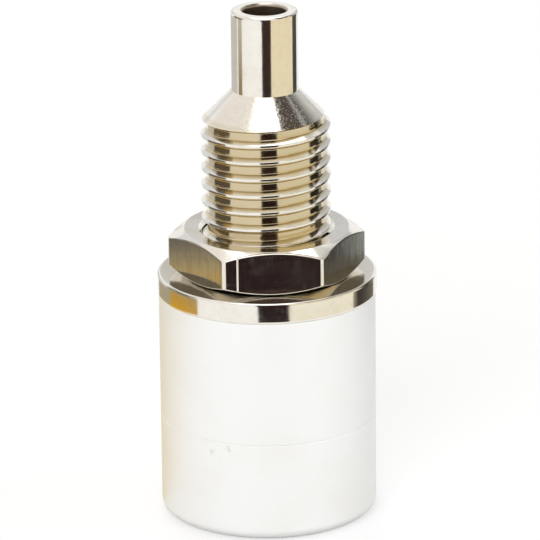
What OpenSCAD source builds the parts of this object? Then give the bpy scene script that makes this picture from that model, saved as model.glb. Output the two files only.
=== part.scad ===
/* [White body] */
// Diameter of the head and of the bush behind it
body_d = 10.1; // [9.6:0.1:12]
// Length of the head in front of the panel
head_h = 4.7; // [4.2:0.1:6]
// Radius of the head's front edge
head_round = 0.5; // [0.3:0.1:1.6]
// Depth of the white lip in front of the metal mouth
lip_h = 0.8; // [0.6:0.1:1]
// Chamfer round the hole in the head's front face
hole_chamfer = 0.3; // [0.1:0.1:0.5]
// Length of the spigot that lines the hole in the panel
spigot_h = 4.6; // [3:0.1:4.8]
// Length of the bush
bush_h = 5.9; // [5.8:0.1:8]
// Wall of the bush round the spigot
bush_wall = 0.95; // [0.7:0.05:1.2]
// Chamfer on the edges where the head and the bush meet
seam_chamfer = 0.12; // [0.05:0.01:0.3]

/* [Plug bore] */
// Diameter of the bore for the plug
plug_d = 4; // [3.8:0.05:4.2]
// Depth of the straight bore from the metal mouth
plug_depth = 16.7; // [14:0.1:17]
// Chamfer that leads the plug into the metal mouth
mouth_chamfer = 0.3; // [0.1:0.05:0.4]
// Outer diameter of the sleeve's nose
nose_d = 5.6; // [5:0.1:6]
// Length of the nose in front of the hexagon collar
nose_h = 1.4; // [1:0.1:1.6]
// Hexagon collar across flats
collar_af = 7; // [6.6:0.1:7.4]
// Thickness of the hexagon collar
collar_h = 1.4; // [1:0.1:1.6]

/* [Thread] */
// Nominal thread diameter
thread_d = 6; // [5.8:0.1:6.4]
// Thread pitch
pitch = 0.8; // [0.6:0.05:0.9]
// Thread left free behind the nut, up to the cone
thread_free = 5.2; // [5:0.05:8]
// Thread hidden under the nut
thread_under = 1.6; // [1:0.05:2]
// Height of a crest on the +X side over a whole number of pitches
crest_offset = 0.24; // [0:0.01:0.79]
// Facets in one turn of the thread
thread_steps = 36; // [24:4:40]

/* [Solder end] */
// Outer diameter of the solder tube
tube_d = 3.1; // [2.8:0.1:3.6]
// Length of the solder tube
tube_h = 3.75; // [3:0.05:6]
// Half angle of the cone below the solder tube
cone_angle = 45; // [40:1:50]
// Chamfer on the rim of the solder tube
rim_chamfer = 0.16; // [0.05:0.01:0.25]
// Diameter of the solder cup
cup_d = 2; // [1.6:0.1:2.2]
// Depth of the solder cup
cup_depth = 4; // [3:0.1:4.2]

/* [Washer and nut] */
// Washer diameter
washer_d = 10.2; // [9.6:0.1:12]
// Washer thickness
washer_h = 1; // [0.6:0.05:1.2]
// Chamfer on the washer's rims
washer_chamfer = 0.12; // [0.05:0.01:0.25]
// Nut across flats
nut_af = 8; // [7.8:0.1:10]
// Nut thickness
nut_h = 2.1; // [1.6:0.1:3]
// Diameter of the nut's flat faces inside the corner chamfer
nut_face_d = 7.7; // [7.2:0.1:7.8]
// Slope of the nut's corner chamfer
nut_chamfer_angle = 28; // [15:1:35]
// Turn of the nut's flats from the front
nut_angle = 4.2; // [0:0.1:59.9]

/* [Fits] */
// Gap left round metal that is moulded in
mould_gap = 0.02; // [0.01:0.005:0.05]
// Radial gap between the plug bore and the hole in the lip
lip_gap = 0.3; // [0.2:0.05:0.5]
// Radial gap of the bush round the spigot
spigot_gap = 0.1; // [0.05:0.05:0.2]
// Gap between the spigot's end and the floor of the bush
floor_gap = 0.3; // [0.1:0.1:0.5]
// Radial gap of the bush and the washer round the thread
shank_gap = 0.2; // [0.1:0.05:0.4]
// Radial gap between the two threads
thread_gap = 0.12; // [0.08:0.01:0.14]

/* [Hidden] */
$fn = 96;

nickel = [0.80, 0.77, 0.70];
white_plastic = [0.95, 0.95, 0.93];

// Cuts run past the faces they open by this much
over = 0.1;
hex_sides = 6;
hex_half_angle = 180 / hex_sides;
drill_half_angle = 59;

body_r = body_d / 2;
counterbore_r = body_r - bush_wall;
spigot_r = counterbore_r - spigot_gap;
plug_r = plug_d / 2;
nose_r = nose_d / 2;
thread_r = thread_d / 2;
tube_r = tube_d / 2;
cup_r = cup_d / 2;
washer_r = washer_d / 2;
nut_face_r = nut_face_d / 2;
lip_hole_r = plug_r + lip_gap;

// The plain shank is turned just under the thread's crests
shank_step = 0.05;
shank_r = thread_r - shank_step;
shank_hole_r = thread_r + shank_gap;

// Thread form: flank slope and the shares of the pitch that the flat crest and the flat root take
flank_angle = 30;
crest_share = 1 / 8;
root_share = 0.44;
crest_half = pitch * crest_share / 2;
foot_half = pitch * (1 - root_share) / 2;
thread_depth = (foot_half - crest_half) / tan(flank_angle);

// The turned relief below the thread is a little deeper than its root, and a lead rises from it
relief_step = 0.12;
relief_h = 0.5;
lead_step = 0.04;
relief_r = thread_r - thread_depth - relief_step;
lead_r = relief_r + lead_step;
crest_room = 0.2;
clear_r = thread_r + crest_room;

// The nut's countersinks open a little wider than its thread
countersink_step = 0.05;
countersink_r = thread_r + thread_gap + countersink_step;

collar_z = lip_h + nose_h;
washer_z = head_h + bush_h;
nut_z = washer_z + washer_h;
nut_top_z = nut_z + nut_h;
thread_z = nut_z - thread_under;
cone_top_z = nut_top_z + thread_free + (thread_r - tube_r) / tan(cone_angle);
tube_top_z = cone_top_z + tube_h;
plug_end_z = lip_h + plug_depth;
cup_end_z = tube_top_z - cup_depth;

// Section of one tooth as radius and height, from its lower to its upper foot
function tooth(crest_r) = [
    [crest_r - thread_depth, -foot_half],
    [crest_r, -crest_half],
    [crest_r, crest_half],
    [crest_r - thread_depth, foot_half]
];

// Solid right-hand screw that runs past both heights; every screw shares one winding, so two of them mesh
module screw(crest_r, low_z, high_z) {
    section = tooth(crest_r);
    count = len(section);
    first = floor((low_z - crest_offset) / pitch) - 1;
    columns = thread_steps * (ceil((high_z - low_z) / pitch) + 2);
    base_z = crest_offset + first * pitch;

    function point(column, k) =
        let (turn = column / thread_steps, r = section[k][0])
        [r * cos(360 * turn), r * sin(360 * turn), base_z + turn * pitch + section[k][1]];

    // The upper edge of a column is the lower edge of the column one turn on
    last_row = (columns + 1) * count;
    function index(column, k) =
        k < count ? column * count + k
        : column + thread_steps <= columns ? (column + thread_steps) * count
        : last_row + column + thread_steps - columns - 1;

    points = concat(
        [for (column = [0 : columns]) for (k = [0 : count - 1]) point(column, k)],
        [for (column = [columns + 1 : columns + thread_steps]) point(column, 0)],
        [[0, 0, base_z], [0, 0, base_z + columns / thread_steps * pitch]]
    );
    low_tip = len(points) - 2;
    high_tip = len(points) - 1;

    flanks = [
        for (column = [0 : columns - 1]) for (k = [0 : count - 1])
        each [
            [index(column, k), index(column, k + 1), index(column + 1, k)],
            [index(column, k + 1), index(column + 1, k + 1), index(column + 1, k)]
        ]
    ];
    low_end = concat(
        [for (column = [0 : thread_steps - 1]) [low_tip, index(column, 0), index(column + 1, 0)]],
        [for (k = [0 : count - 1]) [low_tip, index(0, k + 1), index(0, k)]]
    );
    high_end = concat(
        [for (column = [columns - thread_steps : columns - 1])
            [high_tip, index(column + 1, count), index(column, count)]],
        [for (k = [0 : count - 1]) [high_tip, index(columns, k), index(columns, k + 1)]]
    );
    polyhedron(points, concat(flanks, low_end, high_end));
}

// Upright hexagon prism with one flat facing the front
module hexagon(af, h) {
    cylinder(d = af / cos(hex_half_angle), h = h, $fn = hex_sides);
}

// Straight bore with a drill point, drilled upwards from the origin and open below it
module drilled(r, depth) {
    rotate_extrude()
        polygon([
            [0, -over],
            [r, -over],
            [r, depth],
            [0, depth + r / tan(drill_half_angle)]
        ]);
}

// Turned nose and shank as far as the relief below the thread
module sleeve_front() {
    rotate_extrude()
        polygon([
            [0, lip_h],
            [nose_r, lip_h],
            [nose_r, collar_z + collar_h / 2],
            [shank_r, collar_z + collar_h / 2],
            [shank_r, thread_z - relief_h],
            [relief_r, thread_z - relief_h],
            [relief_r, thread_z + over],
            [0, thread_z + over]
        ]);
}

// Thread cut off by a short lead below and by the cone above
module sleeve_thread() {
    intersection() {
        screw(thread_r, thread_z, cone_top_z);
        rotate_extrude()
            polygon([
                [0, thread_z],
                [lead_r, thread_z],
                [clear_r, thread_z + clear_r - lead_r],
                [clear_r, cone_top_z - (clear_r - tube_r) / tan(cone_angle)],
                [tube_r, cone_top_z],
                [0, cone_top_z]
            ]);
    }
}

// Solder tube, rooted inside the cone
module sleeve_tube() {
    rotate_extrude()
        polygon([
            [0, cone_top_z - tube_r / 2],
            [tube_r, cone_top_z - tube_r / 2],
            [tube_r, tube_top_z - rim_chamfer],
            [tube_r - rim_chamfer, tube_top_z],
            [0, tube_top_z]
        ]);
}

module contact_sleeve() {
    color(nickel)
        difference() {
            union() {
                sleeve_front();
                translate([0, 0, collar_z])
                    hexagon(collar_af, collar_h);
                sleeve_thread();
                sleeve_tube();
            }
            translate([0, 0, lip_h])
                drilled(plug_r, plug_depth);
            translate([0, 0, lip_h])
                cylinder(r1 = plug_r + mouth_chamfer, r2 = plug_r, h = mouth_chamfer);
            translate([0, 0, tube_top_z])
                mirror([0, 0, 1])
                    drilled(cup_r, cup_depth);
        }
}

// Half section of the head and its spigot
module head_section() {
    flat_r = body_r - head_round;
    square([flat_r, head_h]);
    translate([flat_r, head_round])
        circle(r = head_round);
    polygon([
        [0, head_round],
        [body_r, head_round],
        [body_r, head_h - seam_chamfer],
        [body_r - seam_chamfer, head_h],
        [0, head_h]
    ]);
    polygon([
        [0, head_round],
        [spigot_r, head_round],
        [spigot_r, head_h + spigot_h - seam_chamfer],
        [spigot_r - seam_chamfer, head_h + spigot_h],
        [0, head_h + spigot_h]
    ]);
}

// Room in the head for the nose, the shank and the chamfered hole in the lip
module head_hollow() {
    rotate_extrude()
        polygon([
            [0, -over],
            [lip_hole_r + hole_chamfer + over, -over],
            [lip_hole_r, hole_chamfer],
            [lip_hole_r, lip_h],
            [nose_r + mould_gap, lip_h],
            [nose_r + mould_gap, collar_z + collar_h / 2],
            [shank_r + mould_gap, collar_z + collar_h / 2],
            [shank_r + mould_gap, head_h + spigot_h + over],
            [0, head_h + spigot_h + over]
        ]);
}

module insulating_head() {
    color(white_plastic)
        difference() {
            rotate_extrude()
                head_section();
            head_hollow();
            translate([0, 0, collar_z])
                hexagon(collar_af + 2 * mould_gap, collar_h);
        }
}

module insulating_bush() {
    floor_z = head_h + spigot_h + floor_gap;
    color(white_plastic)
        rotate_extrude()
            polygon([
                [counterbore_r, head_h],
                [body_r - seam_chamfer, head_h],
                [body_r, head_h + seam_chamfer],
                [body_r, washer_z],
                [shank_hole_r, washer_z],
                [shank_hole_r, floor_z],
                [counterbore_r, floor_z]
            ]);
}

module washer() {
    color(nickel)
        rotate_extrude()
            polygon([
                [shank_hole_r, washer_z],
                [washer_r - washer_chamfer, washer_z],
                [washer_r, washer_z + washer_chamfer],
                [washer_r, nut_z - washer_chamfer],
                [washer_r - washer_chamfer, nut_z],
                [shank_hole_r, nut_z]
            ]);
}

// Cone that breaks the nut's thread at its lower face
module countersink() {
    depth = thread_depth + over;
    translate([0, 0, -over])
        cylinder(r1 = countersink_r + over, r2 = countersink_r - depth, h = depth + over);
}

module hex_nut() {
    corner_r = nut_af / 2 / cos(hex_half_angle) + over;
    drop = (corner_r - nut_face_r) * tan(nut_chamfer_angle);
    color(nickel)
        difference() {
            intersection() {
                translate([0, 0, nut_z])
                    rotate(nut_angle)
                        hexagon(nut_af, nut_h);
                rotate_extrude()
                    polygon([
                        [0, nut_z],
                        [nut_face_r, nut_z],
                        [corner_r, nut_z + drop],
                        [corner_r, nut_top_z - drop],
                        [nut_face_r, nut_top_z],
                        [0, nut_top_z]
                    ]);
            }
            screw(thread_r + thread_gap, nut_z, nut_top_z);
            translate([0, 0, nut_z])
                countersink();
            translate([0, 0, nut_top_z])
                mirror([0, 0, 1])
                    countersink();
        }
}

contact_sleeve();
insulating_head();
insulating_bush();
washer();
hex_nut();
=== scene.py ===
"""Looks of a panel socket for banana plugs.

The plated and the moulded pieces are modelled over the CAD frame, in metres and on its axes: the
origin is the middle of the head's front face, and +Z runs along the shank to the solder end.
"""

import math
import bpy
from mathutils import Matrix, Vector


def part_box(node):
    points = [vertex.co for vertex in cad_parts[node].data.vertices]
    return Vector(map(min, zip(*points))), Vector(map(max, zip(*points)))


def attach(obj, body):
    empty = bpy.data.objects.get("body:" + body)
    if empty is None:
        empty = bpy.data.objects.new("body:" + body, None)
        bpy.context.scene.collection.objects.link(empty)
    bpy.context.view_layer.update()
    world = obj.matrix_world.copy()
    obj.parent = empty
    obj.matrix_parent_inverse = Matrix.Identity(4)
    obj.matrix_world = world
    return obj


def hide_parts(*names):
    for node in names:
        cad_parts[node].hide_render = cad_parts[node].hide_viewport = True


bl_info = {
    "name": "Banana socket",
    "version": (1, 0, 0),
    "blender": (4, 5, 0),
    "location": "3D View > Sidebar > Socket",
    "description": "Models the plated and moulded pieces of a banana socket and sets up its stage",
    "category": "Mesh",
}

import bmesh
import bpy
from mathutils import Matrix, Vector

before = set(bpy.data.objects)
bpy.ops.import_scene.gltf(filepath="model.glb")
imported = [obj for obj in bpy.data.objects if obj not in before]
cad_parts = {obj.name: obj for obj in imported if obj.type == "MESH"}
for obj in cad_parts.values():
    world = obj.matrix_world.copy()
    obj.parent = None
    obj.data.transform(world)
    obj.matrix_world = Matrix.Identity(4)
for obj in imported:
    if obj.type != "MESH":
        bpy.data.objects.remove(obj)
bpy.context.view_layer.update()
SLEEVE_LOW, SLEEVE_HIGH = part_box("contact_sleeve")
HEAD_LOW, HEAD_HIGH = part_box("insulating_head")
BUSH_LOW, BUSH_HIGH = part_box("insulating_bush")
WASHER_LOW, WASHER_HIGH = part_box("washer")
NUT_LOW, NUT_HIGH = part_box("hex_nut")

MM = 0.001
MICRON = 1e-6
LATHE_STEPS = 128
THREAD_STEPS = 96
ROUND_STEPS = 5
NUT_EDGE_STEPS = 3
SMOOTH_ANGLE = math.radians(32)
# The nut's edges that turn by more than this are rounded
SHARP_ANGLE = math.radians(15)
FLANK_ANGLE = math.radians(30)
# Half of the angle at a drill's point
DRILL_ANGLE = math.radians(59)
WELD = 1e-7
# Cutting tools run past the faces that they open by this much
OVERRUN = 0.1 * MM
# Room over the crests in the tool that trims the ends of the thread
CREST_ROOM = 0.2 * MM
# Whole turns by which a screw runs past the heights that it is made for
SPARE_TURNS = 1


def length(name, description, default):
    """A length that a user would change."""
    return bpy.props.FloatProperty(
        name=name, description=description, default=default, unit="LENGTH", precision=5
    )


def angle(name, description, degrees):
    """An angle that a user would change."""
    return bpy.props.FloatProperty(
        name=name, description=description, default=math.radians(degrees), subtype="ANGLE"
    )


def colour(name, description, default):
    """A colour that a user would change."""
    return bpy.props.FloatVectorProperty(
        name=name, description=description, default=default, size=3, subtype="COLOR", min=0, max=2
    )


def share(name, description, default):
    """A share of full strength that a user would change."""
    return bpy.props.FloatProperty(
        name=name, description=description, default=default, min=0, max=1, subtype="FACTOR"
    )


class ThreadSizes(bpy.types.PropertyGroup):
    """Right-hand thread that the sleeve and the nut share."""

    radius: length("Radius", "Radius over the sleeve's crests", 3.0 * MM)
    pitch: length("Pitch", "Rise of one turn", 0.8 * MM)
    crest_z: length("Crest height", "Height of a crest on the +X side", 0.24 * MM)
    depth: length("Depth", "Depth of the thread", 0.3 * MM)
    crest_flat: length("Crest flat", "Width of the flat crest", 0.1 * MM)
    crest_round: length("Crest rounding", "Rounding of the crest's edges", 0.03 * MM)
    root_round: length("Root rounding", "Rounding at the foot of the flanks", 0.1 * MM)
    gap: length("Gap", "Radial gap between the two threads", 0.12 * MM)


class SleeveSizes(bpy.types.PropertyGroup):
    """Turned contact sleeve."""

    mouth_z: length("Mouth", "Height of the metal mouth", SLEEVE_LOW.z)
    top_z: length("Top", "Height of the solder tube's rim", SLEEVE_HIGH.z)
    nose_r: length("Nose radius", "Radius of the nose inside the head", 2.8 * MM)
    nose_round: length("Nose rounding", "Rounding of the nose's front edge", 0.1 * MM)
    collar_z: length("Collar height", "Lower face of the hexagon collar", 2.2 * MM)
    collar_h: length("Collar thickness", "Thickness of the hexagon collar", 1.4 * MM)
    collar_af: length("Collar flats", "Hexagon collar across flats", SLEEVE_HIGH.y - SLEEVE_LOW.y)
    shank_r: length("Shank radius", "Radius of the plain shank", 2.95 * MM)
    relief_r: length("Relief radius", "Radius of the relief below the thread", 2.58 * MM)
    relief_h: length("Relief width", "Width of the relief below the thread", 0.5 * MM)
    relief_round: length("Relief rounding", "Rounding of the shank's step to the relief", 0.08 * MM)
    lead_step: length("Lead step", "Step from the relief to the start of the lead", 0.04 * MM)
    thread_z: length("Thread start", "Height where the thread starts", 10.0 * MM)
    tube_h: length("Tube length", "Length of the solder tube above the cone", 3.75 * MM)
    tube_r: length("Tube radius", "Radius of the solder tube", 1.55 * MM)
    rim_round: length("Rim rounding", "Rounding of the solder tube's rim", 0.16 * MM)
    cup_r: length("Cup radius", "Radius of the solder cup", 1.0 * MM)
    cup_depth: length("Cup depth", "Depth of the solder cup", 4.0 * MM)
    cup_chamfer: length("Cup chamfer", "Chamfer at the solder cup's mouth", 0.1 * MM)
    cup_round: length("Cup rounding", "Rounding where the cup's wall meets its chamfer", 0.1 * MM)
    plug_r: length("Plug bore radius", "Radius of the bore for the plug", 2.0 * MM)
    plug_depth: length("Plug bore depth", "Depth of the bore for the plug", 16.7 * MM)
    mouth_chamfer: length("Mouth chamfer", "Chamfer that leads the plug in", 0.3 * MM)
    mouth_round: length("Mouth rounding", "Rounding where the bore meets its chamfer", 0.2 * MM)


class BodySizes(bpy.types.PropertyGroup):
    """White head and bush."""

    radius: length("Radius", "Radius of the head and of the bush", BUSH_HIGH.x)
    front_z: length("Front", "Height of the head's front face", HEAD_LOW.z)
    seam_z: length("Seam", "Height where the head meets the bush", BUSH_LOW.z)
    top_z: length("Top", "Height of the bush's rear face", BUSH_HIGH.z)
    front_round: length("Front rounding", "Rounding of the head's front edge", 0.5 * MM)
    seam_round: length("Seam rounding", "Rounding of the edges at the seam", 0.04 * MM)
    edge_round: length("Edge rounding", "Rounding of the other moulded edges", 0.05 * MM)
    lip_h: length("Lip", "Depth of the lip in front of the metal mouth", 0.8 * MM)
    lip_r: length("Lip hole radius", "Radius of the hole in the lip", 2.3 * MM)
    lip_round: length("Lip rounding", "Rounding of the hole's front edge", 0.3 * MM)
    inner_round: length("Inner rounding", "Rounding of the head's edges at the metal", 0.03 * MM)
    spigot_r: length("Spigot radius", "Radius of the spigot in the panel", 4.0 * MM)
    spigot_z: length("Spigot end", "Height of the spigot's end", HEAD_HIGH.z)
    spigot_round: length("Spigot rounding", "Rounding of the spigot's end", 0.12 * MM)
    counterbore_r: length("Counterbore radius", "Radius of the bush's counterbore", 4.1 * MM)
    floor_z: length("Counterbore floor", "Height of the counterbore's floor", 9.6 * MM)
    floor_round: length("Floor rounding", "Rounding round the counterbore's floor", 0.1 * MM)
    hole_r: length("Hole radius", "Radius of the bush's hole round the thread", 3.2 * MM)
    mould_gap: length("Mould gap", "Gap left round the moulded-in metal", 0.02 * MM)
    scuff_x: length("Scuff place", "Place of the scuffs across the head's front", -2.2 * MM)
    scuff_drop: length("Scuff drop", "Depth of the scuffs below the seam", 0.4 * MM)


class FastenerSizes(bpy.types.PropertyGroup):
    """Washer and nut."""

    washer_r: length("Washer radius", "Outer radius of the washer", WASHER_HIGH.x)
    washer_round: length("Washer rounding", "Rounding of the washer's rims", 0.13 * MM)
    washer_hole_r: length("Washer hole", "Radius of the washer's hole", 3.2 * MM)
    washer_hole_round: length("Hole rounding", "Rounding of the washer's hole", 0.06 * MM)
    nut_af: length("Nut flats", "Nut across flats", 8.0 * MM)
    nut_face_r: length("Nut face radius", "Radius of the nut's flat faces", 3.85 * MM)
    nut_round: length("Nut edge rounding", "Width of the rounding of the nut's edges", 0.05 * MM)
    nut_corner: length("Nut corner", "Width of the rounding of the nut's corners", 0.16 * MM)
    nut_seat: length("Nut seat", "Gap under the nut, so that it turns on the washer", 0.005 * MM)
    nut_slope: angle("Corner slope", "Slope of the nut's corner chamfer", 28)
    nut_angle: angle("Nut turn", "Turn of the nut's flats from the front", 4.2)
    sink_step: length("Countersink step", "How much wider the countersink is than the thread", 0.05 * MM)
    sink_depth: length("Countersink depth", "Depth that the countersink reaches", 0.5 * MM)
    line_x: length("Drawing line", "Place of the line along the nut's front flat", -1.64 * MM)


class FinishColours(bpy.types.PropertyGroup):
    """Colours of the finishes."""

    nickel: colour("Nickel", "Bright nickel plating", (0.86, 0.83, 0.765))
    dull_nickel: colour("Dull nickel", "Cloudy spots in the plating", (0.80, 0.755, 0.665))
    # Thin plating on the nut's flats, and also painted shade, darker and warmer, in the sleeve's thread
    # roots
    thin_nickel_and_root_shade: colour("Thin nickel", "Thin plating, warm from the brass", (0.61, 0.50, 0.30))
    # Painted shade, dark brown, for the inside of the solder cup
    cup_shade: colour("Bare brass", "Dull drilled wall of the solder cup", (0.42, 0.35, 0.28))
    plastic: colour("Plastic", "White moulded plastic", (0.90, 0.90, 0.885))
    plastic_shade: colour("Plastic mottle", "Faint warm mottle in the plastic", (0.875, 0.868, 0.84))
    scuff: colour("Scuff", "Faint scuffs in the plastic", (0.64, 0.635, 0.55))


class StageSettings(bpy.types.PropertyGroup):
    """Camera, floor and fill light."""

    elevation: angle("Elevation", "Height of the camera above the horizon", 18.5)
    roll: angle("Roll", "Turn of the camera about its line of sight", 0.6)
    distance: length("Distance", "Distance of the camera", 0.22)
    frame_width: length("Frame width", "Width that the picture shows at the object", 25.11 * MM)
    target_x: length("Target across", "Point across that the camera looks at", 0.14 * MM)
    target_z: length("Target height", "Height that the camera looks at", 11.55 * MM)
    floor: colour("Floor", "Colour of the floor under the lamps", (0.42, 0.42, 0.42))
    floor_glow: share("Floor glow", "White that the floor shows without the lamps", 0.56)
    fill: share("Fill", "Light of the surroundings on the object", 0.30)


def deselect():
    """Leaves edit mode with nothing selected."""
    if bpy.context.object and bpy.context.object.mode != "OBJECT":
        bpy.ops.object.mode_set(mode="OBJECT")
    bpy.ops.object.select_all(action="DESELECT")


def pick(piece):
    """Makes one object the active and only selected one."""
    deselect()
    piece.select_set(True)
    bpy.context.view_layer.objects.active = piece


def round_corners(corners, closed):
    """Points of a section whose corners, each a radius, a height and a rounding, are rounded."""
    count = len(corners)
    points = []
    for i, (r, z, rounding) in enumerate(corners):
        corner = Vector((r, z))
        if rounding == 0 or not closed and i in (0, count - 1):
            points.append(corner)
            continue
        back = (Vector(corners[i - 1][:2]) - corner).normalized()
        ahead = (Vector(corners[(i + 1) % count][:2]) - corner).normalized()
        half = back.angle(ahead) / 2
        centre = corner + (back + ahead).normalized() * rounding / math.sin(half)
        start = corner + back * rounding / math.tan(half) - centre
        end = corner + ahead * rounding / math.tan(half) - centre
        sweep = start.angle_signed(end)
        for step in range(ROUND_STEPS + 1):
            points.append(centre + Matrix.Rotation(-sweep * step / ROUND_STEPS, 2) @ start)
    return points


def draw(name, points, closed):
    """Draws a section in the XZ plane, one extruded vertex after another, and stays in edit mode."""
    deselect()
    bpy.ops.mesh.primitive_plane_add(size=MM)
    piece = bpy.context.object
    piece.name = name
    piece.data.name = name
    bpy.ops.object.mode_set(mode="EDIT")
    bpy.ops.mesh.merge(type="CENTER")
    bpy.ops.transform.translate(value=(points[0].x, 0, points[0].y))
    route = points + points[:1] if closed else points
    for here, there in zip(route, route[1:]):
        step = there - here
        bpy.ops.mesh.extrude_vertices_move(TRANSFORM_OT_translate={"value": (step.x, 0, step.y)})
    bpy.ops.mesh.select_all(action="SELECT")
    return piece


def weld():
    """Merges doubles, turns the faces outwards and leaves edit mode."""
    bpy.ops.mesh.select_all(action="SELECT")
    bpy.ops.mesh.remove_doubles(threshold=WELD)
    bpy.ops.mesh.normals_make_consistent(inside=False)
    bpy.ops.object.mode_set(mode="OBJECT")


def lathe(name, corners, closed=False):
    """Turned solid: a section spun round the shank's axis."""
    piece = draw(name, round_corners(corners, closed), closed)
    bpy.ops.mesh.spin(
        steps=LATHE_STEPS, angle=math.tau, center=(0, 0, 0), axis=(0, 0, 1), use_auto_merge=True
    )
    weld()
    return piece


def corner_radius(across_flats):
    """Radius of a hexagon over its corners."""
    return across_flats / 2 / math.cos(math.pi / 6)


def hexagon(name, across_flats, low_z, height, turn):
    """Hexagon bar with a flat to the front, turned by an angle."""
    deselect()
    bpy.ops.mesh.primitive_cylinder_add(
        vertices=6,
        radius=corner_radius(across_flats),
        depth=height,
        location=(0, 0, low_z + height / 2),
        rotation=(0, 0, math.pi / 6 + turn),
    )
    piece = bpy.context.object
    piece.name = name
    bpy.ops.object.transform_apply(location=True, rotation=True, scale=True)
    return piece


def round_uprights(piece, width):
    """Rounds the upright edges of a hexagon bar."""
    pick(piece)
    bpy.ops.object.mode_set(mode="EDIT")
    bpy.ops.mesh.select_mode(type="EDGE")
    bpy.ops.mesh.select_all(action="DESELECT")
    shape = bmesh.from_edit_mesh(piece.data)
    for edge in shape.edges:
        low, high = (vertex.co for vertex in edge.verts)
        if (low - high).xy.length < WELD:
            edge.select_set(True)
    bmesh.update_edit_mesh(piece.data)
    bpy.ops.mesh.bevel(offset=width, segments=ROUND_STEPS, affect="EDGES")
    bpy.ops.mesh.select_mode(type="VERT")
    bpy.ops.object.mode_set(mode="OBJECT")


def close_end(piece, middle, below):
    """Closes the open end of a screw below or above its middle with a fan of faces, in edit mode."""
    bpy.ops.mesh.select_mode(type="EDGE")
    bpy.ops.mesh.select_all(action="DESELECT")
    shape = bmesh.from_edit_mesh(piece.data)
    for edge in shape.edges:
        if edge.is_boundary and (edge.verts[0].co.z < middle) == below:
            edge.select_set(True)
    bmesh.update_edit_mesh(piece.data)
    bpy.ops.mesh.extrude_region_move(TRANSFORM_OT_translate={"value": (0, 0, 0)})
    bpy.ops.mesh.merge(type="CENTER")


def screw(name, sizes, outward, low_z, high_z):
    """Closed screw that runs past both heights, its surface moved out by a gap."""
    first = math.floor((low_z - sizes.crest_z) / sizes.pitch) - SPARE_TURNS
    turns = math.ceil((high_z - low_z) / sizes.pitch) + 1 + 2 * SPARE_TURNS
    base = sizes.crest_z + first * sizes.pitch
    crest = sizes.radius + outward
    root = crest - sizes.depth
    foot = sizes.crest_flat / 2 + sizes.depth * math.tan(FLANK_ANGLE)
    rising = [
        (root, -sizes.pitch / 2, 0),
        (root, -foot, sizes.root_round),
        (crest, -sizes.crest_flat / 2, sizes.crest_round),
    ]
    corners = rising + [(r, -z, rounding) for r, z, rounding in reversed(rising)]
    points = round_corners([(r, base + z, rounding) for r, z, rounding in corners], False)
    piece = draw(name, points, False)
    bpy.ops.object.mode_set(mode="OBJECT")
    winding = piece.modifiers.new("Winding", "SCREW")
    winding.axis = "Z"
    winding.angle = math.tau
    winding.screw_offset = sizes.pitch
    winding.iterations = turns
    winding.steps = winding.render_steps = THREAD_STEPS
    bpy.ops.object.modifier_apply(modifier=winding.name)
    bpy.ops.object.mode_set(mode="EDIT")
    bpy.ops.mesh.select_all(action="SELECT")
    bpy.ops.mesh.remove_doubles(threshold=WELD)
    middle = (low_z + high_z) / 2
    close_end(piece, middle, below=True)
    close_end(piece, middle, below=False)
    bpy.ops.mesh.select_mode(type="VERT")
    weld()
    return piece


def combine(piece, tool, operation):
    """Joins, cuts or trims a piece with a tool solid, which is used up."""
    pick(piece)
    step = piece.modifiers.new("Combine", "BOOLEAN")
    step.operation = operation
    step.solver = "EXACT"
    step.object = tool
    bpy.ops.object.modifier_apply(modifier=step.name)
    bpy.data.meshes.remove(tool.data)
    if not piece.data.polygons:
        raise RuntimeError(f"nothing is left of {piece.name}")


def break_edges(piece, width, segments):
    """Rounds the sharp edges of a piece."""
    pick(piece)
    edge = piece.modifiers.new("Edges", "BEVEL")
    edge.width = width
    edge.segments = segments
    edge.limit_method = "ANGLE"
    edge.angle_limit = SHARP_ANGLE
    edge.use_clamp_overlap = True
    bpy.ops.object.modifier_apply(modifier=edge.name)


def resize(piece, factor):
    """Scales a piece about the origin and applies it."""
    piece.scale = (factor, factor, factor)
    bpy.ops.object.transform_apply(location=False, rotation=False, scale=True)


def settle(piece, node, body, material):
    """Smooths a finished piece, gives it its finish and puts it in the place of its CAD node."""
    pick(piece)
    bpy.ops.object.mode_set(mode="EDIT")
    weld()
    bpy.ops.object.shade_smooth_by_angle(angle=SMOOTH_ANGLE)
    # Wide faces keep their own direction beside the small roundings; the weights of faces this
    # small only count when the piece is sized in millimetres
    resize(piece, 1 / MM)
    shading = piece.modifiers.new("Shading", "WEIGHTED_NORMAL")
    shading.keep_sharp = True
    shading.thresh = 0
    bpy.ops.object.modifier_apply(modifier=shading.name)
    resize(piece, MM)
    piece.data.materials.clear()
    piece.data.materials.append(material)
    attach(piece, body)
    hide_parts(node)


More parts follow.
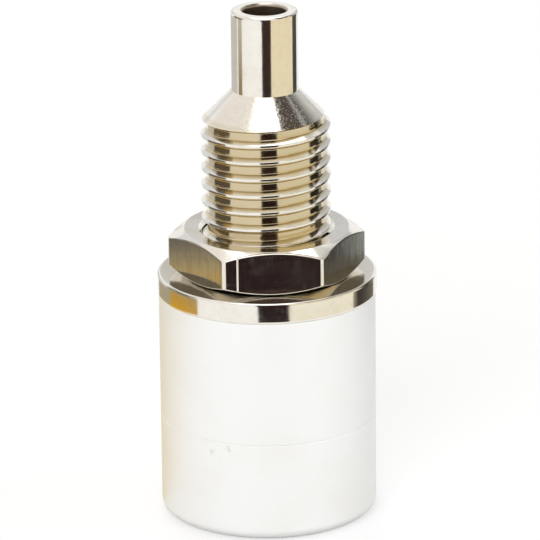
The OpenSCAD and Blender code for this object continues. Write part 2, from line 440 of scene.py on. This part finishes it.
class Wire:
    """A shader socket for use in Python expressions: maths on it adds Math nodes."""

    def __init__(self, tree, socket=None):
        self.tree = tree
        self.socket = socket

    def node(self, kind, settings=None, inputs=None, output=0):
        """Adds a node: its settings are set first, then its sockets are given values or links."""
        made = self.tree.nodes.new(kind)
        for name, value in (settings or {}).items():
            setattr(made, name, value)
        for name, value in (inputs or {}).items():
            if isinstance(value, Wire):
                self.tree.links.new(value.socket, made.inputs[name])
            else:
                made.inputs[name].default_value = value
        return Wire(self.tree, made.outputs[output] if made.outputs else None)

    def maths(self, operation, first, second=0.0):
        """Adds a Math node."""
        return self.node("ShaderNodeMath", {"operation": operation}, {0: first, 1: second})

    def __add__(self, other):
        return self.maths("ADD", self, other)

    def __radd__(self, other):
        return self.maths("ADD", other, self)

    def __sub__(self, other):
        return self.maths("SUBTRACT", self, other)

    def __rsub__(self, other):
        return self.maths("SUBTRACT", other, self)

    def __mul__(self, other):
        return self.maths("MULTIPLY", self, other)

    def __rmul__(self, other):
        return self.maths("MULTIPLY", other, self)

    def __pow__(self, other):
        return self.maths("POWER", self, other)

    def part(self, name):
        """Another output of this wire's node."""
        return Wire(self.tree, self.socket.node.outputs[name])

    def axes(self):
        """The X, Y and Z of a vector."""
        split = self.node("ShaderNodeSeparateXYZ", None, {0: self})
        return split.part("X"), split.part("Y"), split.part("Z")

    def noise(self, scale, detail, roughness=0.5):
        """Noise over a place."""
        return self.node(
            "ShaderNodeTexNoise",
            None,
            {"Vector": self, "Scale": scale, "Detail": detail, "Roughness": roughness},
        )

    def between(self, low, high):
        """0 below the low value, 1 above the high one, smooth in between."""
        return self.node(
            "ShaderNodeMapRange",
            {"interpolation_type": "SMOOTHSTEP"},
            {"Value": self, "From Min": low, "From Max": high},
        )

    def tint(self, low, high):
        """Mixes two colours by this value."""
        return self.node(
            "ShaderNodeMix", {"data_type": "RGBA"}, {0: self, 6: low, 7: high}, output=2
        )


def new_material(name):
    """Material with an empty tree; gives the material and a wire to start from."""
    material = bpy.data.materials.new(name)
    material.use_nodes = True
    material.node_tree.nodes.clear()
    return material, Wire(material.node_tree)


def millimetres(start):
    """The place on a piece, in millimetres."""
    place = start.node("ShaderNodeTexCoord", output="Object")
    return start.node("ShaderNodeVectorMath", {"operation": "SCALE"}, {0: place, "Scale": 1 / MM})


def finish_surface(start, inputs):
    """Ends a tree in a Principled shader."""
    surface = start.node("ShaderNodeBsdfPrincipled", None, inputs)
    start.node("ShaderNodeOutputMaterial", None, {"Surface": surface})


def opaque(shade):
    """A colour with its alpha, as sockets take it."""
    return (*shade, 1)


class Plating:
    """Bright nickel plating on turned brass: lathe rings, ripples, fine grain and dull spots."""

    ring_height = 0.4 * MICRON
    grain_height = 0.2 * MICRON
    ripple_height = 3 * MICRON

    def __init__(self, name, colours):
        self.material, self.start = new_material(name)
        self.spot = millimetres(self.start)
        self.x, self.y, self.z = self.spot.axes()
        self.radius = (self.x * self.x + self.y * self.y) ** 0.5
        # Height and radius both count, so walls, cones and end faces all show rings
        rings = self.start.node(
            "ShaderNodeTexNoise",
            {"noise_dimensions": "1D"},
            {"W": self.radius * 1.7 + self.z, "Scale": 26.0, "Detail": 3.0},
        )
        haze = self.spot.noise(scale=0.9, detail=4.0)
        ripple = self.spot.noise(scale=1.8, detail=1.0)
        spots = self.spot.noise(scale=3.4, detail=4.0, roughness=0.6)
        self.grain = self.spot.noise(scale=14.0, detail=2.0)
        dull = haze.between(0.35, 0.75) * 0.5 + spots.between(0.45, 0.75) * 0.5
        self.shade = dull.tint(opaque(colours.nickel), opaque(colours.dull_nickel))
        self.roughness = 0.05 + rings * 0.07 + dull * 0.08
        marks = rings * self.ring_height + self.grain * self.grain_height
        self.height = marks + ripple * self.ripple_height

    def finish(self):
        """Ends the tree and gives the material."""
        bump = self.start.node(
            "ShaderNodeBump", None, {"Strength": 1.0, "Distance": 1.0, "Height": self.height}
        )
        finish_surface(
            self.start,
            {"Base Color": self.shade, "Metallic": 1.0, "Roughness": self.roughness, "Normal": bump},
        )
        return self.material


def sleeve_nickel(colours, sizes, thread):
    """Plating of the sleeve: pitted on the cone and thin in the thread's roots, with painted shade that
    makes the roots darker and warmer and the solder cup dark brown.
    """
    pit_height = 4 * MICRON
    coat = Plating("sleeve_nickel", colours)
    z, radius = coat.z, coat.radius
    thread_z = sizes.thread_z / MM
    crest_r = thread.radius / MM
    root_r = crest_r - thread.depth / MM
    cone_top = (sizes.top_z - sizes.tube_h) / MM
    cone_foot = cone_top - crest_r + sizes.tube_r / MM
    cup_r = sizes.cup_r / MM
    cup_end = (sizes.top_z - sizes.cup_depth) / MM - cup_r / math.tan(DRILL_ANGLE)
    on_thread = z.between(thread_z - 0.1, thread_z + 0.1) * (1 - z.between(cone_foot, cone_foot + 0.4))
    # Painted shade: the thread's roots get a darker, warmer colour on top of their thin plating
    root_shade = on_thread * (1 - radius.between(root_r + 0.02, crest_r - 0.07))
    above_foot = z.between(cone_foot - 0.1, cone_foot + 0.1)
    on_cone = above_foot * (1 - z.between(cone_top - 0.1, cone_top + 0.05))
    in_bore = 1 - radius.between(cup_r + 0.03, cup_r + 0.12)
    in_cup = z.between(cup_end - 0.3, cup_end - 0.1) * in_bore
    with_root_shade = (root_shade * 0.9).tint(coat.shade, opaque(colours.thin_nickel_and_root_shade))
    # Painted shade: the solder cup's wall is dark brown
    coat.shade = in_cup.tint(with_root_shade, opaque(colours.cup_shade))
    pits = on_cone * coat.grain.between(0.5, 0.68)
    coat.roughness = coat.roughness + pits * 0.2 + in_cup * 0.22
    coat.height = coat.height + on_cone * coat.grain * pit_height
    return coat.finish()


def washer_nickel(colours):
    """Plating of the washer, whose ground faces are rougher than its wall."""
    ground_height = 2 * MICRON
    coat = Plating("washer_nickel", colours)
    low = WASHER_LOW.z / MM
    high = WASHER_HIGH.z / MM
    on_wall = coat.z.between(low + 0.01, low + 0.03) * (1 - coat.z.between(high - 0.03, high - 0.01))
    on_faces = 1 - on_wall
    coat.roughness = coat.roughness + on_faces * (0.01 + coat.grain * 0.06)
    coat.height = coat.height + on_faces * coat.grain * ground_height
    return coat.finish()


def nut_nickel(colours, sizes):
    """Plating of the nut: streaks and a line from drawing the bar on its flats, and fine pits."""
    streak_scale = (6, 6, 0.6)
    line_height = 30 * MICRON
    coat = Plating("nut_nickel", colours)
    stretched = coat.start.node(
        "ShaderNodeVectorMath", {"operation": "MULTIPLY"}, {0: coat.spot, 1: streak_scale}
    )
    streaks = stretched.noise(scale=1.0, detail=3.0)
    tilt = coat.start.node("ShaderNodeTexCoord", output="Normal").axes()[2]
    on_flats = 1 - coat.start.maths("ABSOLUTE", tilt).between(0.1, 0.3)
    drawn = streaks.between(0.4, 0.7) * on_flats
    pits = coat.grain.between(0.64, 0.8)
    coat.shade = (drawn * 0.35).tint(coat.shade, opaque(colours.thin_nickel_and_root_shade))
    coat.roughness = coat.roughness + drawn * 0.03 + pits * 0.12
    # The height steps up along the line, on the front flat alone
    line_x = sizes.line_x / MM
    flat_y = sizes.nut_af / 2 / MM
    along = coat.x * math.cos(sizes.nut_angle) + coat.y * math.sin(sizes.nut_angle)
    outward = coat.x * math.sin(sizes.nut_angle) - coat.y * math.cos(sizes.nut_angle)
    step = along.between(line_x - 0.05, line_x + 0.05) * outward.between(flat_y - 0.1, flat_y - 0.05)
    coat.height = coat.height + step * line_height
    return coat.finish()


def scuff_marks(spot, middle_x, middle_z):
    """A few marks in a flat oval on the front, about a place in millimetres."""
    x, y, z = spot.axes()
    aside = x - middle_x
    above = z - middle_z
    away = (aside * aside * 0.3 + above * above * 2) ** 0.5
    patch = (1 - away.between(0.3, 0.6)) * (1 - y.between(-1, 0))
    return patch * spot.noise(scale=3.0, detail=3.0).between(0.52, 0.64)


def white_plastic(name, colours, scuffs_at=None):
    """White moulded plastic: faint mottle, soft orange peel, a satin gloss, and scuffs at a place."""
    peel_height = 3 * MICRON
    material, start = new_material(name)
    spot = millimetres(start)
    mottle = spot.noise(scale=0.35, detail=3.0)
    peel = spot.noise(scale=7.0, detail=2.0)
    specks = start.node("ShaderNodeTexVoronoi", None, {"Vector": spot, "Scale": 3.2})
    shade = mottle.between(0.4, 0.75).tint(opaque(colours.plastic), opaque(colours.plastic_shade))
    roughness = 0.30 + peel * 0.10 + mottle * 0.06
    if scuffs_at:
        scuffs = scuff_marks(spot, *scuffs_at)
        shade = (scuffs * 0.5).tint(shade, opaque(colours.scuff))
        roughness = roughness + scuffs * 0.15
    height = peel * 0.8 + specks.between(0.0, 0.2) * 0.2
    bump = start.node(
        "ShaderNodeBump", None, {"Strength": 0.35, "Distance": peel_height, "Height": height}
    )
    finish_surface(start, {"Base Color": shade, "Roughness": roughness, "Normal": bump, "IOR": 1.5})
    return material


class SOCKET_OT_contact_sleeve(bpy.types.Operator):
    """Turns the contact sleeve: nose, collar, shank, thread, cone and solder tube"""

    bl_idname = "socket.contact_sleeve"
    bl_label = "Contact sleeve"

    def execute(self, context):
        sizes = context.scene.socket_sleeve
        thread = context.scene.socket_thread
        cone_top_z = sizes.top_z - sizes.tube_h
        piece = screw("contact_sleeve_turned", thread, 0, sizes.thread_z, cone_top_z)
        combine(piece, self.thread_ends(sizes, thread, cone_top_z), "INTERSECT")
        combine(piece, self.front(sizes), "UNION")
        collar = hexagon("collar", sizes.collar_af, sizes.collar_z, sizes.collar_h, 0)
        combine(piece, collar, "UNION")
        combine(piece, self.tube(sizes, cone_top_z), "UNION")
        combine(piece, self.plug_bore(sizes), "DIFFERENCE")
        combine(piece, self.solder_cup(sizes), "DIFFERENCE")
        finish = sleeve_nickel(context.scene.socket_colours, sizes, thread)
        settle(piece, "contact_sleeve", "socket", finish)
        return {"FINISHED"}

    def thread_ends(self, sizes, thread, cone_top_z):
        """Solid that the thread is trimmed to: a lead below and the cone above, both at 45 degrees."""
        clear_r = thread.radius + CREST_ROOM
        lead_r = sizes.relief_r + sizes.lead_step
        return lathe(
            "trim",
            [
                (0, sizes.thread_z, 0),
                (lead_r, sizes.thread_z, 0),
                (clear_r, sizes.thread_z + clear_r - lead_r, 0),
                (clear_r, cone_top_z - clear_r + sizes.tube_r, 0),
                (sizes.tube_r, cone_top_z, 0),
                (0, cone_top_z, 0),
            ],
        )

    def front(self, sizes):
        """Nose, plain shank and relief, which reaches a little into the thread."""
        collar_mid = sizes.collar_z + sizes.collar_h / 2
        shank_z = sizes.thread_z - sizes.relief_h
        relief_z = sizes.thread_z + OVERRUN
        return lathe(
            "front",
            [
                (0, sizes.mouth_z, 0),
                (sizes.nose_r, sizes.mouth_z, sizes.nose_round),
                (sizes.nose_r, collar_mid, 0),
                (sizes.shank_r, collar_mid, 0),
                (sizes.shank_r, shank_z, sizes.relief_round),
                (sizes.relief_r, shank_z, sizes.relief_round),
                (sizes.relief_r, relief_z, 0),
                (0, relief_z, 0),
            ],
        )

    def tube(self, sizes, cone_top_z):
        """Solder tube, which starts inside the cone."""
        foot_z = cone_top_z - sizes.tube_r / 2
        return lathe(
            "tube",
            [
                (0, foot_z, 0),
                (sizes.tube_r, foot_z, 0),
                (sizes.tube_r, sizes.top_z, sizes.rim_round),
                (0, sizes.top_z, 0),
            ],
        )

    def plug_bore(self, sizes):
        """Bore for the plug, with its lead-in and the drill's point."""
        open_r = sizes.plug_r + sizes.mouth_chamfer + OVERRUN
        open_z = sizes.mouth_z - OVERRUN
        end_z = sizes.mouth_z + sizes.plug_depth
        return lathe(
            "plug_bore",
            [
                (0, open_z, 0),
                (open_r, open_z, 0),
                (sizes.plug_r, sizes.mouth_z + sizes.mouth_chamfer, sizes.mouth_round),
                (sizes.plug_r, end_z, 0),
                (0, end_z + sizes.plug_r / math.tan(DRILL_ANGLE), 0),
            ],
        )

    def solder_cup(self, sizes):
        """Bore for the wire, with the drill's point and a chamfered mouth."""
        open_r = sizes.cup_r + sizes.cup_chamfer + OVERRUN
        open_z = sizes.top_z + OVERRUN
        end_z = sizes.top_z - sizes.cup_depth
        return lathe(
            "cup",
            [
                (0, end_z - sizes.cup_r / math.tan(DRILL_ANGLE), 0),
                (sizes.cup_r, end_z, 0),
                (sizes.cup_r, sizes.top_z - sizes.cup_chamfer, sizes.cup_round),
                (open_r, open_z, 0),
                (0, open_z, 0),
            ],
        )


class SOCKET_OT_insulating_head(bpy.types.Operator):
    """Moulds the head round the sleeve's nose and collar, with its spigot"""

    bl_idname = "socket.insulating_head"
    bl_label = "Insulating head"

    def execute(self, context):
        sizes = context.scene.socket_body
        sleeve = context.scene.socket_sleeve
        collar_mid = sleeve.collar_z + sleeve.collar_h / 2
        gap = sizes.mould_gap
        lip_z = sizes.front_z + sizes.lip_h
        piece = lathe(
            "insulating_head_moulded",
            [
                (sizes.lip_r, sizes.front_z, sizes.lip_round),
                (sizes.radius, sizes.front_z, sizes.front_round),
                (sizes.radius, sizes.seam_z, sizes.seam_round),
                (sizes.spigot_r, sizes.seam_z, sizes.edge_round),
                (sizes.spigot_r, sizes.spigot_z, sizes.spigot_round),
                (sleeve.shank_r + gap, sizes.spigot_z, sizes.inner_round),
                (sleeve.shank_r + gap, collar_mid, 0),
                (sleeve.nose_r + gap, collar_mid, 0),
                (sleeve.nose_r + gap, lip_z, 0),
                (sizes.lip_r, lip_z, sizes.inner_round),
            ],
            closed=True,
        )
        pocket = hexagon("pocket", sleeve.collar_af + 2 * gap, sleeve.collar_z, sleeve.collar_h, 0)
        combine(piece, pocket, "DIFFERENCE")
        scuffs_at = (sizes.scuff_x / MM, (sizes.seam_z - sizes.scuff_drop) / MM)
        finish = white_plastic("head_plastic", context.scene.socket_colours, scuffs_at)
        settle(piece, "insulating_head", "socket", finish)
        return {"FINISHED"}


class SOCKET_OT_insulating_bush(bpy.types.Operator):
    """Moulds the bush with its counterbore for the spigot"""

    bl_idname = "socket.insulating_bush"
    bl_label = "Insulating bush"

    def execute(self, context):
        sizes = context.scene.socket_body
        piece = lathe(
            "insulating_bush_moulded",
            [
                (sizes.counterbore_r, sizes.seam_z, sizes.edge_round),
                (sizes.radius, sizes.seam_z, sizes.seam_round),
                (sizes.radius, sizes.top_z, sizes.edge_round),
                (sizes.hole_r, sizes.top_z, sizes.edge_round),
                (sizes.hole_r, sizes.floor_z, sizes.edge_round),
                (sizes.counterbore_r, sizes.floor_z, sizes.floor_round),
            ],
            closed=True,
        )
        finish = white_plastic("bush_plastic", context.scene.socket_colours)
        settle(piece, "insulating_bush", "rear_stack", finish)
        return {"FINISHED"}


class SOCKET_OT_washer(bpy.types.Operator):
    """Turns the washer with its softened rims"""

    bl_idname = "socket.washer"
    bl_label = "Washer"

    def execute(self, context):
        sizes = context.scene.socket_fasteners
        piece = lathe(
            "washer_turned",
            [
                (sizes.washer_hole_r, WASHER_LOW.z, sizes.washer_hole_round),
                (sizes.washer_r, WASHER_LOW.z, sizes.washer_round),
                (sizes.washer_r, WASHER_HIGH.z, sizes.washer_round),
                (sizes.washer_hole_r, WASHER_HIGH.z, sizes.washer_hole_round),
            ],
            closed=True,
        )
        finish = washer_nickel(context.scene.socket_colours)
        settle(piece, "washer", "rear_stack", finish)
        return {"FINISHED"}


class SOCKET_OT_hex_nut(bpy.types.Operator):
    """Cuts the hex nut: chamfered corners, softened edges, countersinks and thread"""

    bl_idname = "socket.hex_nut"
    bl_label = "Hex nut"

    def execute(self, context):
        sizes = context.scene.socket_fasteners
        thread = context.scene.socket_thread
        low = NUT_LOW.z + sizes.nut_seat
        high = NUT_HIGH.z
        piece = hexagon("hex_nut_threaded", sizes.nut_af, low, high - low, sizes.nut_angle)
        round_uprights(piece, sizes.nut_corner)
        combine(piece, self.corners(sizes, low, high), "INTERSECT")
        break_edges(piece, sizes.nut_round, NUT_EDGE_STEPS)
        combine(piece, screw("tap", thread, thread.gap, low, high), "DIFFERENCE")
        sink_r = thread.radius + thread.gap + sizes.sink_step
        combine(piece, self.countersink(sink_r, sizes.sink_depth, low, 1), "DIFFERENCE")
        combine(piece, self.countersink(sink_r, sizes.sink_depth, high, -1), "DIFFERENCE")
        finish = nut_nickel(context.scene.socket_colours, sizes)
        settle(piece, "hex_nut", "nut", finish)
        return {"FINISHED"}

    def corners(self, sizes, low, high):
        """Double cone that chamfers the corners at both faces."""
        outer_r = corner_radius(sizes.nut_af) + OVERRUN
        drop = (outer_r - sizes.nut_face_r) * math.tan(sizes.nut_slope)
        return lathe(
            "corners",
            [
                (0, low, 0),
                (sizes.nut_face_r, low, 0),
                (outer_r, low + drop, 0),
                (outer_r, high - drop, 0),
                (sizes.nut_face_r, high, 0),
                (0, high, 0),
            ],
        )

    def countersink(self, radius, depth, face, inward):
        """45 degree cone into a face, up from the lower one with 1 and down with -1."""
        open_z = face - inward * OVERRUN
        end_z = face + inward * depth
        return lathe(
            "countersink",
            [
                (0, open_z, 0),
                (radius + OVERRUN, open_z, 0),
                (radius - depth, end_z, 0),
                (0, end_z, 0),
            ],
        )


# Curved reflector cards round the object, seen by mirrors alone. A row gives the azimuths in
# degrees, counted to the right from the camera's side, the heights in millimetres and the colour,
# or the colours at its two ends, which run from the lower to the upper edge or across the azimuths.
CARD_RADIUS = 30 * MM
CARD_FACET = 4
CARD_LEAST_FACETS = 4
UP, ACROSS = "up", "across"
DARK = (0.018, 0.010, 0.011)
BLACK = (0.03, 0.024, 0.023)
SHADOW = (0.05, 0.042, 0.04)
BROWN = (0.046, 0.027, 0.024)
OLIVE = (0.130, 0.122, 0.112)
SLATE = (0.32, 0.345, 0.335)
CARDS = [
    # In front, and bright from there to the right
    (-9, 21, 0, 17, DARK, BROWN),
    (-12, 21, 17, 40, BROWN),
    (21, 95, 0, 3.4, (0.95, 0.90, 0.76)),
    (21, 93, 3.4, 11, (0.97, 0.98, 0.94)),
    (21, 104, 11, 40, (0.90, 0.80, 0.57)),
    # On the right, mostly dark
    (95, 103, 0, 3.4, (0.34, 0.29, 0.22), SHADOW, ACROSS),
    (103, 140, 0, 3.4, SHADOW, (0.16, 0.14, 0.11), ACROSS),
    (93, 120.5, 3.4, 11, BLACK, (0.035, 0.029, 0.028)),
    (120.5, 125, 3.4, 11, BLACK, SLATE, ACROSS),
    (125, 136, 3.4, 11, SLATE),
    (107, 136, 11, 30, (0.07, 0.06, 0.05), (0.15, 0.13, 0.09)),
    # On the left, warm near the floor
    (-150, -118, 2.6, 11, (0.72, 0.745, 0.78)),
    (-114, -72, 0, 2.6, (0.70, 0.40, 0.04), (0.56, 0.32, 0.05)),
    (-150, -114, 0, 2.6, (0.42, 0.37, 0.26)),
    (-118, -72, 2.6, 5.0, (0.46, 0.375, 0.20), OLIVE),
    (-118, -72, 5.0, 11, OLIVE, (0.13, 0.105, 0.08)),
    (-160, -106, 11, 17, (0.62, 0.60, 0.58)),
    (-100, -82, 11, 17, (0.30, 0.21, 0.09), (0.62, 0.57, 0.48)),
    (-120, -76, 17, 31, (0.12, 0.10, 0.065), (0.16, 0.14, 0.10)),
    # High on both sides, for what slopes upwards
    (50, 101, 42, 130, (0.09, 0.072, 0.06)),
    (104, 136, 30, 62, (0.05, 0.048, 0.044), (0.60, 0.60, 0.58), ACROSS),
    (-138, -50, 33, 95, (0.92, 0.88, 0.84)),
    (-165, -138, 24, 42, (0.78, 0.80, 0.83)),
    (138, 165, 24, 42, (0.60, 0.615, 0.64)),
    # Behind, for the upper faces of washer and nut
    (180, 192, 16, 22.8, (0.55, 0.54, 0.51)),
    (180, 192, 22.8, 29, (0.72, 0.72, 0.72)),
    (168, 180, 16, 22.8, (0.72, 0.72, 0.70), (0.60, 0.60, 0.60)),
    (168, 180, 22.8, 29, (0.66, 0.67, 0.69)),
]
# Warm card that lies on the floor behind the left side
FLOOR_CARD = (-178, -90, 0.1, 0.1, (0.85, 0.60, 0.20), None, ACROSS)
FLOOR_CARD_INNER = 5.2 * MM

# Soft square lamps that aim at the middle of the object. A row gives the name, the place and the
# side in metres, the power in watts, the colour, and whether mirrors see it.
LAMP_AIM = Vector((0, 0, 12 * MM))
WHITE = (1, 1, 1)
LAMPS = [
    ("top_lamp", (0, 0.02, 0.25), 0.2, 0.16, WHITE, True),
    ("front_lamp", (-0.080, -0.288, 0.152), 0.25, 0.92, WHITE, False),
    ("right_lamp", (0.261, 0.0, 0.077), 0.15, 0.30, WHITE, False),
    ("left_lamp", (-0.216, 0.135, 0.03), 0.08, 0.13, (1.0, 0.72, 0.10), False),
    ("back_lamp", (-0.060, 0.275, 0.115), 0.2, 0.42, WHITE, False),
]
# Side of the floor in metres, and its depth below the object
FLOOR_SIDE = 3
FLOOR_DROP = 0.02 * MM


class SOCKET_OT_stage(bpy.types.Operator):
    """Sets up the floor, the reflector cards, the lamps, the world and the camera"""

    bl_idname = "socket.stage"
    bl_label = "Stage"

    def execute(self, context):
        stage = context.scene.socket_stage
        self.floor(stage)
        for number, row in enumerate(CARDS):
            self.card(f"card_{number}", *row)
        self.card("floor_card", *FLOOR_CARD, inner=FLOOR_CARD_INNER)
        for row in LAMPS:
            self.lamp(*row)
        self.world(context.scene, stage)
        self.camera(context.scene, stage)
        return {"FINISHED"}

    def seen(self, start):
        """1 for the rays of the camera and of mirrors and glass, 0 for the others."""
        path = start.node("ShaderNodeLightPath", output="Is Camera Ray")
        rays = path + path.part("Is Glossy Ray") + path.part("Is Transmission Ray")
        return rays.between(0.0, 1.0)

    def floor(self, stage):
        """Plain pale floor that keeps the object's shadow."""
        deselect()
        bpy.ops.mesh.primitive_plane_add(size=FLOOR_SIDE, location=(0, 0, -FLOOR_DROP))
        floor = bpy.context.object
        floor.name = "floor"
        material, start = new_material("floor_white")
        diffuse = start.node("ShaderNodeBsdfDiffuse", None, {"Color": opaque(stage.floor)})
        strength = self.seen(start) * stage.floor_glow
        glow = start.node("ShaderNodeEmission", None, {"Color": opaque(WHITE), "Strength": strength})
        both = start.node("ShaderNodeAddShader", None, {0: diffuse, 1: glow})
        start.node("ShaderNodeOutputMaterial", None, {"Surface": both})
        floor.data.materials.append(material)

    def card(self, name, az_from, az_to, low, high, first, last=None, run=UP, inner=CARD_RADIUS):
        """Curved card that only mirrors see, shaded from one edge to the other."""
        card = draw(name, [Vector((inner, low * MM)), Vector((CARD_RADIUS, high * MM))], False)
        bpy.ops.mesh.spin(
            steps=max(CARD_LEAST_FACETS, round((az_to - az_from) / CARD_FACET)),
            angle=math.radians(az_from - az_to),
            center=(0, 0, 0),
            axis=(0, 0, 1),
        )
        bpy.ops.object.mode_set(mode="OBJECT")
        card.rotation_euler.z = math.radians(az_from - 90)
        material, start = new_material(name)
        x, y, z = start.node("ShaderNodeTexCoord", output="Object").axes()
        if run == UP:
            way = z.between(low * MM, high * MM)
        else:
            way = start.maths("ARCTAN2", y, x).between(0, math.radians(az_to - az_from))
        shade = way.tint(opaque(first), opaque(last or first))
        glow = start.node("ShaderNodeEmission", None, {"Color": shade, "Strength": 1.0})
        start.node("ShaderNodeOutputMaterial", None, {"Surface": glow})
        card.data.materials.append(material)
        card.visible_camera = False
        card.visible_diffuse = False
        card.visible_transmission = False
        card.visible_shadow = False

    def lamp(self, name, place, side, power, shade, mirrored):
        """Soft square lamp."""
        deselect()
        bpy.ops.object.light_add(type="AREA", location=place)
        lamp = bpy.context.object
        lamp.name = name
        lamp.data.size = side
        lamp.data.energy = power
        lamp.data.color = shade
        lamp.rotation_euler = (LAMP_AIM - lamp.location).to_track_quat("-Z", "Y").to_euler()
        lamp.visible_glossy = mirrored
        lamp.visible_camera = False

    def world(self, scene, stage):
        """White where the camera and mirrors look, a plain soft fill for the rest."""
        world = bpy.data.worlds.new("studio")
        scene.world = world
        world.use_nodes = True
        world.node_tree.nodes.clear()
        start = Wire(world.node_tree)
        strength = stage.fill + self.seen(start) * (1 - stage.fill)
        light = start.node(
            "ShaderNodeBackground", None, {"Color": opaque(WHITE), "Strength": strength}
        )
        start.node("ShaderNodeOutputWorld", None, {"Surface": light})

    def camera(self, scene, stage):
        """Camera that looks down at the object from the front."""
        data = bpy.data.cameras.new("photo_camera")
        camera = bpy.data.objects.new("photo_camera", data)
        scene.collection.objects.link(camera)
        data.sensor_width = 36
        data.lens = data.sensor_width * stage.distance / stage.frame_width
        data.clip_start = 0.01
        data.clip_end = 20
        back = Vector((0, -math.cos(stage.elevation), math.sin(stage.elevation)))
        target = Vector((stage.target_x, 0, stage.target_z))
        turn = (-back).to_track_quat("-Z", "Y").to_matrix() @ Matrix.Rotation(-stage.roll, 3, "Z")
        camera.matrix_world = Matrix.Translation(target + back * stage.distance) @ turn.to_4x4()
        scene.camera = camera
        scene.view_settings.view_transform = "Standard"


class SOCKET_PT_pieces(bpy.types.Panel):
    """Lists the operators that build the socket"""

    bl_idname = "SOCKET_PT_pieces"
    bl_label = "Banana socket"
    bl_space_type = "VIEW_3D"
    bl_region_type = "UI"
    bl_category = "Socket"

    def draw(self, context):
        for step in STEPS:
            self.layout.operator(step.bl_idname)


SETTINGS = {
    "socket_thread": ThreadSizes,
    "socket_sleeve": SleeveSizes,
    "socket_body": BodySizes,
    "socket_fasteners": FastenerSizes,
    "socket_colours": FinishColours,
    "socket_stage": StageSettings,
}
STEPS = [
    SOCKET_OT_stage,
    SOCKET_OT_contact_sleeve,
    SOCKET_OT_insulating_head,
    SOCKET_OT_insulating_bush,
    SOCKET_OT_washer,
    SOCKET_OT_hex_nut,
]


def register():
    for group in SETTINGS.values():
        bpy.utils.register_class(group)
    for name, group in SETTINGS.items():
        setattr(bpy.types.Scene, name, bpy.props.PointerProperty(type=group))
    for step in STEPS:
        bpy.utils.register_class(step)
    bpy.utils.register_class(SOCKET_PT_pieces)


def unregister():
    bpy.utils.unregister_class(SOCKET_PT_pieces)
    for step in reversed(STEPS):
        bpy.utils.unregister_class(step)
    for name in SETTINGS:
        delattr(bpy.types.Scene, name)
    for group in reversed(list(SETTINGS.values())):
        bpy.utils.unregister_class(group)


def main():
    register()
    bpy.ops.socket.stage()
    bpy.ops.socket.contact_sleeve()
    bpy.ops.socket.insulating_head()
    bpy.ops.socket.insulating_bush()
    bpy.ops.socket.washer()
    bpy.ops.socket.hex_nut()


if __name__ == "__main__":
    main()
